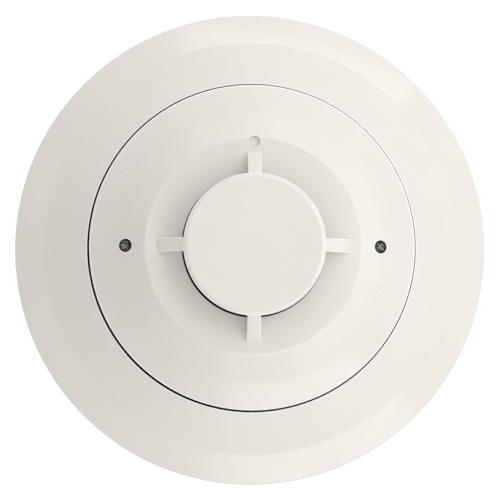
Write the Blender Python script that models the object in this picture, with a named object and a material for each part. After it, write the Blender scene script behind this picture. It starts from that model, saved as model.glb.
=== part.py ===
"""Plug-in heat detector on its flanged twist-lock base, as separate pieces with their joints' axes.

The model stands on its back: the origin is the centre of the base's back face, and +Z points out of
the ceiling that the base is screwed to. Sizes are in millimetres, and MM turns them into metres.
The head locks into the base by a clockwise turn, as seen from the room, and comes out the other way.
"""

import math

import bmesh
import bpy
from mathutils import Matrix

MM = 0.001
ROUND = 72  # sides of the large turned shells
SMALL_ROUND = 24
WIRE_ROUND = 8

# Overall sizes
RING_RADIUS = 77.5
HEIGHT = 51.0
WALL = 2.0

# Trim ring: a gentle outer facet, then a steeper one up to the lip round the head
RING_FOOT = 0.3
CREASE = (67.1, 8.6)
LIP_RADIUS = 52.5
LIP_TOP = 21.6
LIP_FOOT = 19.3
HOOK_ANGLES = (45, 135, 225, 315)

# Mounting base
FLOOR = 3.0
WIRING_HOLE = 24.0
NARROW_BOX = 163  # degrees to the screw slots for boxes with holes 70 mm apart
WIDE_BOX = 137  # and for those with holes 83 to 90 mm apart
CUP_INNER = 52.6
CUP_OUTER = 54.2
CUP_TOP = 19.0
LOCK_ANGLES = (90, 210, 330)
LEDGE_HALF = 11.0
LEDGE_Z = (12.8, 14.8)

# Terminals: each stands in a frame of its own, with X clockwise round the base and Y outwards
CONTACT_RADIUS = 36.0
CONTACT_ANGLES = (17, 107, 197, 287)
SCREW_X = 12.3
STRIP = 0.8
STRIP_Z = 3.3
FINGER_Z = 7.2
FOLD_X = 7.0
FINGER_END = -4.5

# Tamper lever
LEVER_ANGLE = 62
LEVER_RADIUS = 43.5
LEVER_PIVOT = (10.2, 5.8)

# Head
HEAD_RADIUS = 51.9
SKIRT_FOOT = 15.2
OPENING_RADIUS = 22.0
RIM_RADIUS = 33.9
RIM_Z = 38.8
PLATEAU_Z = 39.6
LIP_DEPTH = 34.0
CAP_RADIUS = 21.7
CAP_THICKNESS = 2.8
RIB_HALF = 2.0
RIB_END = 29.2
SNAP_ANGLES = (45, 135, 225, 315)
LAMP_X = 40.0
LAMP_HOLE = 2.15
PIPE_RADIUS = 1.6
MARK = (0.3, 32.2)
MARK_RADIUS = 1.9
TRAY_BACK = 10.4
TRAY_FLOOR = 12.2
TRAY_RADIUS = 48.6
TRAY_TOP = 19.6
LUG_HALF = 8.0
LUG_Z = (10.5, 12.5)
BOARD_Z = (20.0, 21.6)
BOARD_RADIUS = 47.5
POST_RADIUS = 33.0
POST_ANGLES = (70, 190, 310)
DIAL_PLACES = {"tens": (-8.5, -10.0), "ones": (8.5, -10.0)}
SENSOR_X = 4.5


# ---------------------------------------------------------------- shapes, all in millimetres


def bend(start, corner, end, steps=3):
    """A smooth curve from start to end that leaves and arrives along the lines through corner."""
    points = []
    for i in range(steps + 1):
        t = i / steps
        points.append(
            tuple((1 - t) ** 2 * a + 2 * t * (1 - t) * b + t * t * c for a, b, c in zip(start, corner, end))
        )
    return points


def towards(start, end, distance):
    """The point at a distance from start on the way to end."""
    share = distance / math.dist(start, end)
    return tuple(a + (b - a) * share for a, b in zip(start, end))


def softened(corners):
    """A line through (r, z) corners. A corner with a third number is rounded over that length each way."""
    line = []
    for i, (r, z, *size) in enumerate(corners):
        if not size:
            line.append((r, z))
            continue
        start = towards((r, z), corners[i - 1][:2], size[0])
        end = towards((r, z), corners[i + 1][:2], size[0])
        line += bend(start, (r, z), end)
    return line


def shell(corners, wall):
    """The closed outline of a wall of even thickness to the left of an open line of corners."""
    sharp = [corner[:2] for corner in corners]
    inner = []
    for i, (r, z) in enumerate(sharp):
        before = sharp[max(i - 1, 0)]
        after = sharp[min(i + 1, len(sharp) - 1)]
        normals = []
        for a, b in ((before, (r, z)), ((r, z), after)):
            length = math.dist(a, b)
            if length:
                normals.append(((a[1] - b[1]) / length, (b[0] - a[0]) / length))
        nr = sum(n[0] for n in normals) / len(normals)
        nz = sum(n[1] for n in normals) / len(normals)
        stretch = wall / (nr * nr + nz * nz)
        inner.append((r + nr * stretch, z + nz * stretch))
    return softened(corners) + inner[::-1]


def turned(profile, segments=ROUND):
    """A solid of revolution about Z. A profile with both ends on the axis is closed by the axis."""
    bm = bmesh.new()
    verts = [bm.verts.new((r, 0, z)) for r, z in profile]
    ends_on_axis = profile[0][0] == 0 and profile[-1][0] == 0
    pairs = list(zip(verts, verts[1:]))
    if not ends_on_axis:
        pairs.append((verts[-1], verts[0]))
    edges = [bm.edges.new(pair) for pair in pairs]
    bmesh.ops.spin(
        bm, geom=verts + edges, axis=(0, 0, 1), cent=(0, 0, 0), angle=math.tau, steps=segments, use_merge=True
    )
    bmesh.ops.remove_doubles(bm, verts=bm.verts, dist=0.001)
    bmesh.ops.recalc_face_normals(bm, faces=bm.faces)
    return bm


def extruded(corners, by):
    """A prism: a flat outline of 3-D corners pushed along a vector."""
    bm = bmesh.new()
    face = bm.faces.new([bm.verts.new(corner) for corner in corners])
    grown = bmesh.ops.extrude_face_region(bm, geom=[face])["geom"]
    bmesh.ops.translate(bm, vec=by, verts=[g for g in grown if isinstance(g, bmesh.types.BMVert)])
    bmesh.ops.recalc_face_normals(bm, faces=bm.faces)
    return bm


def upright(outline, half_width):
    """A plate that stands in the XZ plane, from an outline of (x, z) points."""
    return extruded([(x, -half_width, z) for x, z in outline], (0, 2 * half_width, 0))


def block(x0, x1, y0, y1, z0, z1):
    return extruded([(x0, y0, z0), (x1, y0, z0), (x1, y1, z0), (x0, y1, z0)], (0, 0, z1 - z0))


def disc(x, y, radius, z0, z1, segments=SMALL_ROUND):
    bm = bmesh.new()
    bmesh.ops.create_cone(
        bm, cap_ends=True, segments=segments, radius1=radius, radius2=radius, depth=z1 - z0
    )
    return placed(bm, (x, y, (z0 + z1) / 2))


def sector(r0, r1, z0, z1, centre, half, steps=4):
    """A block bent round Z: from r0 to r1 and z0 to z1, half degrees either side of its centre."""
    bm = bmesh.new()
    first = bm.faces.new([bm.verts.new((r, 0, z)) for r, z in ((r0, z0), (r1, z0), (r1, z1), (r0, z1))])
    bmesh.ops.spin(
        bm, geom=[first], axis=(0, 0, 1), cent=(0, 0, 0), angle=math.radians(2 * half), steps=steps
    )
    bmesh.ops.recalc_face_normals(bm, faces=bm.faces)
    return placed(bm, (0, 0, 0), centre - half)


def slot(radius0, radius1, half_width, angle, z0, z1):
    """A slot with round ends that runs outwards at an angle, as a cutter."""
    outline = []
    for cx, first in ((radius0, 90), (radius1, -90)):
        for k in range(9):
            a = math.radians(first + 22.5 * k)
            outline.append((cx + half_width * math.cos(a), half_width * math.sin(a), z0))
    return placed(extruded(outline, (0, 0, z1 - z0)), (0, 0, 0), angle)


def placed(bm, at, turn=0):
    """Turns a shape about Z by some degrees, then moves it."""
    bmesh.ops.transform(
        bm, matrix=Matrix.Translation(at) @ Matrix.Rotation(math.radians(turn), 4, "Z"), verts=bm.verts
    )
    return bm


def laid(bm, at, axis, turn):
    """Turns a shape about one of its own axes by some degrees, then moves it."""
    bmesh.ops.transform(
        bm, matrix=Matrix.Translation(at) @ Matrix.Rotation(math.radians(turn), 4, axis), verts=bm.verts
    )
    return bm


def together(shapes):
    """Several shapes that don't touch, as one mesh for a Boolean."""
    whole = bmesh.new()
    for bm in shapes:
        part = bpy.data.meshes.new("part")
        bm.to_mesh(part)
        bm.free()
        whole.from_mesh(part)
        bpy.data.meshes.remove(part)
    return whole


def wire(points, radius):
    """A round wire through the points, made from a bevelled curve with filled ends."""
    curve = bpy.data.curves.new("wire", "CURVE")
    curve.dimensions = "3D"
    curve.bevel_depth = radius
    curve.bevel_resolution = (WIRE_ROUND - 4) // 2
    curve.use_fill_caps = True
    spline = curve.splines.new("POLY")
    spline.points.add(len(points) - 1)
    for point, at in zip(spline.points, points):
        point.co = (*at, 1)
    guide = bpy.data.objects.new("guide", curve)
    mesh = bpy.data.meshes.new_from_object(guide)
    bm = bmesh.new()
    bm.from_mesh(mesh)
    bmesh.ops.remove_doubles(bm, verts=bm.verts, dist=0.001)
    bmesh.ops.recalc_face_normals(bm, faces=bm.faces)
    bpy.data.objects.remove(guide)
    bpy.data.curves.remove(curve)
    bpy.data.meshes.remove(mesh)
    return bm


# ---------------------------------------------------------------- objects


def finish(name, colour, roughness, metallic=0.0):
    made = bpy.data.materials.new(name)
    made.use_nodes = True
    shader = made.node_tree.nodes["Principled BSDF"]
    shader.inputs["Base Color"].default_value = (*colour, 1)
    shader.inputs["Roughness"].default_value = roughness
    shader.inputs["Metallic"].default_value = metallic
    return made


def stand(name, parent=None, at=(0, 0, 0), turn=0):
    """An empty that carries pieces: a body, or the frame of a terminal."""
    empty = bpy.data.objects.new(name, None)
    bpy.context.scene.collection.objects.link(empty)
    empty.parent = parent
    empty.location = [c * MM for c in at]
    empty.rotation_euler.z = math.radians(turn)
    return empty


def round_frame(name, parent, radius, angle):
    """A frame at a place round the base, with its X clockwise and its Y outwards."""
    a = math.radians(angle)
    return stand(name, parent, (radius * math.cos(a), radius * math.sin(a), 0), angle - 90)


def piece(name, bm, look, parent, at=(0, 0, 0)):
    """One named solid. Its shape is given about its own origin, which stands at a place in its parent."""
    mesh = bpy.data.meshes.new(name)
    bmesh.ops.scale(bm, vec=(MM, MM, MM), verts=bm.verts)
    bm.to_mesh(mesh)
    bm.free()
    if look:
        mesh.materials.append(look)
    mesh.shade_smooth()
    mesh.set_sharp_from_angle(angle=math.radians(32))
    obj = bpy.data.objects.new(name, mesh)
    bpy.context.scene.collection.objects.link(obj)
    obj.parent = parent
    obj.location = [c * MM for c in at]
    return obj


def shaped(obj, operation, bm):
    """Joins a shape to a piece with UNION, or cuts it away with DIFFERENCE, in the piece's own frame."""
    label = f"{obj.name}_{operation.lower()}_{len(obj.modifiers)}"
    tool = piece(label, bm, None, obj)
    tool.hide_render = True
    tool.display_type = "WIRE"
    cut = obj.modifiers.new(label, "BOOLEAN")
    cut.operation = operation
    cut.object = tool
    cut.solver = "EXACT"


# ---------------------------------------------------------------- base


def trim_ring(look, body):
    """The loose skirt that hides the base. Four hooks hold it, and a turn either way frees it."""
    line = [
        (RING_RADIUS, RING_FOOT), (RING_RADIUS, 2.1, 0.9), (*CREASE, 0.5),
        (LIP_RADIUS, LIP_TOP, 0.7), (LIP_RADIUS, LIP_FOOT),
    ]  # fmt: skip
    ring = piece("trim_ring", turned(shell(line, WALL)), look, body)
    hook = [(54.9, 6.0), (58.8, 6.0), (58.8, 14.9), (56.8, 16.7), (56.8, 7.6), (54.9, 7.6)]
    hooks = [placed(upright(hook, 4.0), (0, 0, 0), angle) for angle in HOOK_ANGLES]
    shaped(ring, "UNION", together(hooks))


def mounting_base(look, body):
    """The cup that is screwed to the ceiling box, with the lock's ledges and the wiring hole."""
    profile = [
        (WIRING_HOLE, 0), (CUP_OUTER, 0), (CUP_OUTER, CUP_TOP),
        (CUP_INNER, CUP_TOP), (CUP_INNER, FLOOR), (WIRING_HOLE, FLOOR),
    ]  # fmt: skip
    base = piece("mounting_base", turned(profile), look, body)

    low, high = LEDGE_Z
    inner = 49.4
    ledges = [sector(inner, CUP_INNER + 0.9, low, high, a, LEDGE_HALF) for a in LOCK_ANGLES]
    outer_lugs = [sector(CUP_OUTER - 0.9, 56.4, 8.2, 9.8, a, 4.5, 2) for a in HOOK_ANGLES]
    shaped(base, "UNION", together(ledges + outer_lugs))

    stop_centre = LEDGE_HALF - 1.1
    stops = [sector(inner, CUP_INNER + 0.6, 9.4, low + 0.8, a - stop_centre, 1.1, 1) for a in LOCK_ANGLES]
    pads = []
    for angle in CONTACT_ANGLES:
        pad = block(-4.5, 5.5, -3.0, 3.0, FLOOR - 0.8, 5.7)
        pads.append(placed(placed(pad, (0, CONTACT_RADIUS, 0)), (0, 0, 0), angle - 90))
    post = block(LEVER_PIVOT[0] - 0.2, LEVER_PIVOT[0] + 3.8, -2.4, 2.4, FLOOR - 0.8, 7.4)
    posts = [placed(placed(post, (0, LEVER_RADIUS, 0)), (0, 0, 0), LEVER_ANGLE - 90)]
    shaped(base, "UNION", together(stops + pads + posts))

    above, below = FLOOR + 1, -1
    cuts = []
    for angle in (0, 180):
        cuts.append(slot(34.0, 36.5, 2.3, angle + NARROW_BOX, below, above))
        cuts.append(slot(41.0, 45.5, 2.3, angle + WIDE_BOX, below, above))
    for angle in CONTACT_ANGLES:
        hole = disc(SCREW_X, CONTACT_RADIUS, 2.2, below, above, 16)
        cuts.append(placed(hole, (0, 0, 0), angle - 90))
    window = block(-10, -3, CUP_INNER - 3, CUP_OUTER + 3, 4.4, 9.4)
    cuts.append(placed(window, (0, 0, 0), LEVER_ANGLE - 90))
    shaped(base, "DIFFERENCE", together(cuts))


def terminals(metal, steel, base):
    """Four screw terminals: a folded contact strip, a wire clamp that rises on its screw, and the screw."""
    top = FINGER_Z + STRIP
    strip = [
        (16.8, STRIP_Z), (FOLD_X, STRIP_Z), (FOLD_X, FINGER_Z), (FINGER_END, FINGER_Z),
        (FINGER_END - 0.6, FINGER_Z + 0.9), (FINGER_END, top + 0.4), (FINGER_END + 0.6, top),
        (FOLD_X + STRIP, top), (FOLD_X + STRIP, STRIP_Z + STRIP), (16.8, STRIP_Z + STRIP),
    ]  # fmt: skip
    plate_z = (4.4, 5.4)
    head_z = (5.7, 7.8)
    for number, angle in enumerate(CONTACT_ANGLES, 1):
        frame = round_frame(f"terminal_{number}", base, CONTACT_RADIUS, angle)
        contact = piece(f"contact_spring_{number}", upright(strip, 3.0), metal, frame)
        shaped(contact, "DIFFERENCE", disc(SCREW_X, 0, 2.0, 2, 5, 16))

        plate = block(-3.7, 3.7, -3.7, 3.7, *plate_z)
        clamp = piece(f"clamp_plate_{number}", plate, steel, frame, (SCREW_X, 0, 0))
        shaped(clamp, "DIFFERENCE", disc(0, 0, 2.1, 4, 6, 16))

        shank = [(0, 0.5), (1.2, 0.5), (1.75, 1.1), (1.75, head_z[0]), (3.2, head_z[0])]
        crown = bend((3.2, 6.9), (3.1, head_z[1]), (1.6, head_z[1]), 3) + [(0, head_z[1])]
        solid = turned(shank + crown, SMALL_ROUND)
        screw = piece(f"terminal_screw_{number}", solid, steel, frame, (SCREW_X, 0, 0))
        shaped(screw, "DIFFERENCE", block(-0.45, 0.45, -2.1, 2.1, 6.7, 9))
        shaped(screw, "DIFFERENCE", block(-2.1, 2.1, -0.45, 0.45, 6.7, 9))


def tamper_lever(look, base):
    """A springy tongue beside the head's rim. Its tip is pressed towards the ceiling to free a locked head."""
    frame = round_frame("lever_frame", base, LEVER_RADIUS, LEVER_ANGLE)
    side = [
        (-0.5, -0.9), (-0.5, 0.9), (-16.6, 0.9), (-17.4, 3.9), (-19.6, 3.9), (-20.2, 0.9), (-20.2, -0.9),
    ]  # fmt: skip
    x, z = LEVER_PIVOT
    piece("tamper_lever", upright(side, 1.6), look, frame, (x, 0, z))


# ---------------------------------------------------------------- head


def front_cover(look, body):
    """The domed cover, its four ribs and the cap plate over the sensors, moulded in one piece."""
    line = [
        (HEAD_RADIUS, SKIRT_FOOT), (HEAD_RADIUS, 22.1, 0.8), (45.5, 26.6, 3.2), (38.7, 32.7, 3.2),
        (RIM_RADIUS, RIM_Z, 0.9), (OPENING_RADIUS, PLATEAU_Z, 0.8), (OPENING_RADIUS, LIP_DEPTH),
    ]  # fmt: skip
    cover = piece("front_cover", turned(shell(line, WALL)), look, body)

    rib = [
        (22.6, 36.9), (RIB_END + 0.9, 37.6), (RIB_END, 39.7), (22.4, 49.5), (20.6, 49.9), (18.4, 49.9), (18.4, 46.4),
        (22.2, 40.2),
    ]  # fmt: skip
    ribs = [placed(upright(rib, RIB_HALF), (0, 0, 0), 90 * k) for k in range(4)]
    catches = [sector(48.95, 50.9, 15.5, 17.2, a, 6, 3) for a in SNAP_ANGLES]
    shaped(cover, "UNION", together(ribs + catches))

    under = HEIGHT - CAP_THICKNESS
    edge = bend((CAP_RADIUS, 49.6), (CAP_RADIUS, HEIGHT), (CAP_RADIUS - 1.5, HEIGHT), 3)
    cap = [(0, under), (CAP_RADIUS - 0.5, under), (CAP_RADIUS, under + 0.5), *edge, (0, HEIGHT)]
    shaped(cover, "UNION", turned(cap))

    holes = [disc(side * LAMP_X, 0, LAMP_HOLE, 24, 40) for side in (-1, 1)]
    holes.append(disc(*MARK, MARK_RADIUS, RIM_Z - 0.45, 42))
    shaped(cover, "DIFFERENCE", together(holes))


def rear_housing(look, body):
    """The tray behind the cover: lock lugs outside, snap barbs, board posts, and slots for the blades."""
    profile = [
        (0, TRAY_BACK), (TRAY_RADIUS, TRAY_BACK), (TRAY_RADIUS, TRAY_TOP),
        (TRAY_RADIUS - 1.8, TRAY_TOP), (TRAY_RADIUS - 1.8, TRAY_FLOOR), (0, TRAY_FLOOR),
    ]  # fmt: skip
    tray = piece("rear_housing", turned(profile), look, body)
    lugs = [sector(47.6, HEAD_RADIUS, *LUG_Z, a, LUG_HALF) for a in LOCK_ANGLES]
    barbs = [sector(47.6, 49.5, 17.6, 18.8, a, 4, 2) for a in SNAP_ANGLES]
    posts = [
        placed(disc(POST_RADIUS, 0, 3.0, TRAY_FLOOR - 0.8, 19.7, 16), (0, 0, 0), a) for a in POST_ANGLES
    ]
    shaped(tray, "UNION", together(lugs + barbs + posts))

    cuts = [placed(disc(POST_RADIUS, 0, 1.6, 13.4, 21, 12), (0, 0, 0), a) for a in POST_ANGLES]
    cuts += [disc(x, y, 3.7, 9, 13) for x, y in DIAL_PLACES.values()]
    for angle in CONTACT_ANGLES:
        gap = block(-7.0, -5.4, CONTACT_RADIUS - 2.4, CONTACT_RADIUS + 2.4, 9, 13)
        cuts.append(placed(gap, (0, 0, 0), angle - 90))
    pocket = block(-10.8, -6.2, LEVER_RADIUS - 1.9, LEVER_RADIUS + 1.9, 9, 13)
    cuts.append(placed(pocket, (0, 0, 0), LEVER_ANGLE - 90))
    shaped(tray, "DIFFERENCE", together(cuts))


def contact_blades(metal, body):
    """Four angled blades, soldered to the board, whose feet slide under the base's spring fingers."""
    side = [(-6.6, 19.7), (-6.6, 6.1), (5.2, 6.1), (5.2, 6.9), (-5.8, 6.9), (-5.8, 19.7)]
    for number, angle in enumerate(CONTACT_ANGLES, 1):
        frame = round_frame(f"blade_frame_{number}", body, CONTACT_RADIUS, angle)
        piece(f"contact_blade_{number}", upright(side, 2.0), metal, frame)


def circuit_board(look, steel, body):
    board = piece("circuit_board", disc(0, 0, BOARD_RADIUS, *BOARD_Z, 60), look, body)
    holes = [placed(disc(POST_RADIUS, 0, 1.8, 19, 23, 12), (0, 0, 0), a) for a in POST_ANGLES]
    shaped(board, "DIFFERENCE", together(holes))
    shank = [(0, 14.4), (0.7, 14.4), (1.3, 15.4), (1.3, 21.9), (2.7, 21.9)]
    crown = bend((2.7, 22.7), (2.6, 23.5), (1.2, 23.5), 2) + [(0, 23.5)]
    for number, angle in enumerate(POST_ANGLES, 1):
        a = math.radians(angle)
        at = (POST_RADIUS * math.cos(a), POST_RADIUS * math.sin(a), 0)
        screw = piece(f"board_screw_{number}", turned(shank + crown, 16), steel, body, at)
        shaped(screw, "DIFFERENCE", block(-0.4, 0.4, -3.2, 3.2, 22.8, 25))


def address_switches(dark, pale, body):
    """Two ten-way rotary switches behind the board. Their dials are turned through the rear housing."""
    for name, (x, y) in DIAL_PLACES.items():
        box = piece(f"{name}_switch", block(-5.2, 5.2, -5.2, 5.2, 12.6, 19.6), dark, body, (x, y, 0))
        shaped(box, "DIFFERENCE", disc(0, 0, 1.9, 11, 15.6, 16))
        rotor = [(0, 10.7), (3.0, 10.7), (3.2, 10.9), (3.2, 12.3), (1.55, 12.3), (1.55, 15.2), (0, 15.2)]
        dial = piece(f"{name}_dial", turned(rotor, SMALL_ROUND), pale, body, (x, y, 0))
        pointer = [(-0.5, -2.4), (0.5, -2.4), (0.5, 1.2), (1.1, 1.2), (0, 2.6), (-1.1, 1.2), (-0.5, 1.2)]
        shaped(dial, "DIFFERENCE", extruded([(px, py, 9.5) for px, py in pointer], (0, 0, 1.9)))


def lamps(red, smoked, body):
    """Two lamps on the board, and the light pipes that carry them to the cover."""
    for name, side in (("left", -1), ("right", 1)):
        at = (side * LAMP_X, 0, 0)
        piece(f"lamp_{name}", block(-1.6, 1.6, -1.3, 1.3, 21.9, 23.4), red, body, at)
        top = bend((PIPE_RADIUS, 28.9), (PIPE_RADIUS, 30.5), (0, 30.5), 4)
        pipe = [(0, 23.8), (2.5, 23.8), (2.5, 24.8), (PIPE_RADIUS, 24.8), *top]
        piece(f"light_pipe_{name}", turned(pipe, SMALL_ROUND), smoked, body, at)


def sensors(dark, epoxy, body):
    """Two thermistor beads that stand in the air gap under the cap, in a plug that closes the cover."""
    profile = [
        (0, 21.9), (7.5, 21.9), (7.5, 23.1), (6.4, 24), (6.4, 30.2), (9, 31.4), (23.6, 31.4), (23.6, 33.7),
        (21.4, 33.7), (20.9, 34.6), (8, 36.4), (0, 36.4),
    ]  # fmt: skip
    plug = piece("sensor_support", turned(profile, 48), dark, body)
    lead = 1.27
    holes = [disc(sx * SENSOR_X, sy * lead, 0.65, 20, 38, WIRE_ROUND) for sx in (-1, 1) for sy in (-1, 1)]
    shaped(plug, "DIFFERENCE", together(holes))
    outline = bend((1.5, 43.3), (1.5, 45.8), (0, 45.8), 4)
    for number, side in enumerate((-1, 1), 1):
        bead = [(0, 41.6)] + bend((0.9, 41.7), (1.5, 42.2), (1.5, 43.3), 2) + outline[1:]
        sensor = piece(f"thermistor_{number}", turned(bead, 16), epoxy, body, (side * SENSOR_X, 0, 0))
        legs = wire(
            [(0, -lead, 21.9), (0, -lead, 38.5), (0, -0.5, 41), (0, -0.5, 42.6),
             (0, 0.5, 42.6), (0, 0.5, 41), (0, lead, 38.5), (0, lead, 21.9)], 0.25,
        )  # fmt: skip
        shaped(sensor, "UNION", legs)


def board_parts(looks, body):
    """The larger parts on the board, in the space under the dome."""
    top = BOARD_Z[1] + 0.3
    chip = block(-5, 5, -5, 5, top, top + 1.6)
    piece("microcontroller", chip, looks["black"], body, (-21, 18, 0))
    bridge = block(-3.2, 3.2, -2.6, 2.6, top, top + 2.6)
    piece("bridge_rectifier", bridge, looks["black"], body, (19, 22, 0))

    can = [(0, top), (3.8, top), (4.0, top + 0.4), (4.0, top + 1.6), (3.7, top + 2.0), (4.0, top + 2.4)]
    can += bend((4.0, top + 10), (4.0, top + 10.8), (3.2, top + 10.8), 2)
    can += [(0, top + 10.8)]
    piece("storage_capacitor", turned(can, SMALL_ROUND), looks["can"], body, (27, -10, 0))

    drum = [
        (0, top), (3.4, top), (3.4, top + 0.9), (2.4, top + 1.3), (2.4, top + 3.9), (3.4, top + 4.3),
        (3.4, top + 5.2), (0, top + 5.2),
    ]  # fmt: skip
    piece("choke", turned(drum, SMALL_ROUND), looks["ferrite"], body, (30, 12, 0))

    edge = bend((3.6, -1.5), (4.5, -1.5), (4.5, 0), 2)
    edge += bend((4.5, 0), (4.5, 1.5), (3.6, 1.5), 2)[1:]
    dipped = laid(turned([(0, -1.5), *edge, (0, 1.5)], SMALL_ROUND), (0, 0, top + 7.5), "Y", 90)
    arrester = piece("surge_arrester", dipped, looks["blue"], body, (-22, -20, 0))
    legs = [wire([(0, s * 2.5, top), (0, s * 2.5, top + 5.5)], 0.35) for s in (-1, 1)]
    shaped(arrester, "UNION", together(legs))

    tube = bend((0.5, -5.5), (1.1, -5.3), (1.1, -4.6), 2)
    tube += bend((1.1, 4.6), (1.1, 5.3), (0.5, 5.5), 2)
    glass = laid(turned([(0, -5.5), *tube, (0, 5.5)], 12), (0, 0, top + 2.2), "Y", 90)
    reed = piece("reed_switch", glass, looks["glass"], body, (-4, 29, 0))
    legs = []
    for s in (-1, 1):
        route = [(s * 4.4, 0, top + 2.2), (s * 7.6, 0, top + 2.2), (s * 7.6, 0, top)]
        legs.append(wire(route, 0.3))
    shaped(reed, "UNION", together(legs))

    piece("rating_label", block(-13, 13, 0, 15, 9.9, 10.1), looks["paper"], body)


def build():
    for obj in list(bpy.data.objects):
        bpy.data.objects.remove(obj)
    cover_white = finish("cover_white", (0.84, 0.81, 0.74), 0.32)
    base_white = finish("base_white", (0.83, 0.80, 0.73), 0.38)
    brass = finish("contact_brass", (0.78, 0.58, 0.28), 0.3, 1.0)
    steel = finish("plated_steel", (0.62, 0.61, 0.58), 0.3, 1.0)
    looks = {
        "black": finish("black_plastic", (0.03, 0.03, 0.03), 0.5),
        "can": finish("capacitor_sleeve", (0.05, 0.07, 0.16), 0.35),
        "ferrite": finish("ferrite", (0.06, 0.06, 0.065), 0.6),
        "blue": finish("arrester_blue", (0.05, 0.17, 0.42), 0.4),
        "glass": finish("reed_glass", (0.42, 0.55, 0.45), 0.1),
        "paper": finish("label_paper", (0.80, 0.80, 0.78), 0.6),
    }
    base = stand("base")
    trim_ring(base_white, base)
    mounting_base(base_white, base)
    terminals(brass, steel, base)
    tamper_lever(base_white, base)

    head = stand("head")
    front_cover(cover_white, head)
    rear_housing(base_white, head)
    contact_blades(brass, head)
    circuit_board(finish("board_green", (0.05, 0.22, 0.09), 0.45), steel, head)
    address_switches(looks["black"], finish("dial_white", (0.75, 0.74, 0.70), 0.4), head)
    lamps(finish("lamp_red", (0.55, 0.05, 0.04), 0.3), finish("smoked_lens", (0.05, 0.03, 0.03), 0.2), head)
    sensors(looks["black"], finish("sensor_epoxy", (0.03, 0.03, 0.03), 0.25), head)
    board_parts(looks, head)


build()
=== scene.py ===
"""Heat detector: the finished pieces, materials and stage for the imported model.

Everything is in metres, in the model's own frame: +Z out of the ceiling, +Y towards the test mark.
Lengths in the tables below are in millimetres, and MM turns them into metres.
"""

import math

import bmesh
import bpy
from mathutils import Matrix, Vector


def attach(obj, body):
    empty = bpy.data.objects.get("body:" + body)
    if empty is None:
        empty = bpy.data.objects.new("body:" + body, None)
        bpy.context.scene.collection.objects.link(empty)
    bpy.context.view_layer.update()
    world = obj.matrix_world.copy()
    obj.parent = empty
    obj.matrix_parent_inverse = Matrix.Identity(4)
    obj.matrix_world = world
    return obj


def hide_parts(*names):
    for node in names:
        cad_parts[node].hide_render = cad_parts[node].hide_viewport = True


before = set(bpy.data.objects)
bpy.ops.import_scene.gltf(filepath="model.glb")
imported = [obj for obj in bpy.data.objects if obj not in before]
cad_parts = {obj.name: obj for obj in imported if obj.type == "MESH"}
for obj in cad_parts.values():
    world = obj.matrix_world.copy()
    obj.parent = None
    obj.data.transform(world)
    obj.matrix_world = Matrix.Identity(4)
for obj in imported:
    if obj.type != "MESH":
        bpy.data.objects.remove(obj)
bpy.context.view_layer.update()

bl_info = {
    "name": "Heat detector",
    "version": (1, 0, 0),
    "blender": (4, 5, 0),
    "location": "3D View > Sidebar > Heat detector",
    "description": "Builds a plug-in heat detector's finished pieces, materials and stage",
    "category": "Object",
}

MM = 0.001
ROUND = 256  # steps round the large turned pieces
SMALL_ROUND = 48
SMOOTH_ANGLE = math.radians(32)  # faces that meet at less than this are shaded as one
FLAT_ANGLE = math.radians(1)  # the frame's faces that meet at less than this are one flat
NEAREST_BEND = 0.05  # mm, the shortest distance that a bend is measured over

# The lamps, and the gap between the head and the ring, in millimetres
LAMP_X = 40.0
LAMP_HOLE = 2.05
HEAD_WALL = 51.9
LIP_WALL = 52.37
GAP_TOP = 21.4  # the walls of the gap get painted shade below this height
HEAD_SLACK = 0.04  # how far inside the head's wall the painted shade already begins
LIP_SLACK = 0.05  # and how far outside the ring's lip
HEAD_LAND = 51.45  # where the painted highlight on the flat edge round the head begins
LIP_LAND = 0.28  # how wide the painted highlight on the flat edge round the ring's lip is
LAMP_RIM = 0.35  # how wide the painted highlight round a lamp hole is
PLAY_WAY = math.radians(217)  # the side to which the ring's lip sits

FADE = 0.00004  # m, how softly the painted shade in the gaps and the painted highlights on the rims end
PALE = 0.6  # how far a thin edge's colour goes towards white: a painted highlight
SHADED_CORNER = 0.62  # how much of its colour a corner keeps under its painted shade
# painted shade: the near-black of the shadowed walls of the gap round the head and of the lamp holes
GAP_SHADOW = (0.02, 0.018, 0.016, 1)
FLECK = (0.30, 0.27, 0.22, 1)
POLISH = -0.06  # how a thin edge changes the roughness
GRAIN_DEPTH = 0.00012  # m, from the bottom to the top of the mouldings' texture
# painted shade: the lens's black edge stands in for the shadowed ring round the lens
LENS_BLACK = (0.012, 0.011, 0.011, 1)
LENS_PALE = (0.46, 0.44, 0.42, 1)
LENS_DARK = (0.03, 0.03, 0.03, 1)


# ---------------------------------------------------------------- settings


class DetectorSizes(bpy.types.PropertyGroup):
    """Sizes of the finished pieces that the frame leaves open."""

    cap_edge: bpy.props.FloatProperty(
        name="Cap edge", description="Width of the chamfer round the cap",
        default=0.0012, unit="LENGTH",
    )  # fmt: skip
    rib_edge: bpy.props.FloatProperty(
        name="Rib edge", description="Rounding of the ribs' edges",
        default=0.00035, unit="LENGTH",
    )  # fmt: skip
    rib_draft: bpy.props.FloatProperty(
        name="Rib draft", description="How much wider a rib is at its foot",
        default=0.0004, unit="LENGTH",
    )  # fmt: skip
    play: bpy.props.FloatProperty(
        name="Play", description="How far the ring's lip sits to one side of the head",
        default=0.00025, unit="LENGTH",
    )  # fmt: skip


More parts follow.
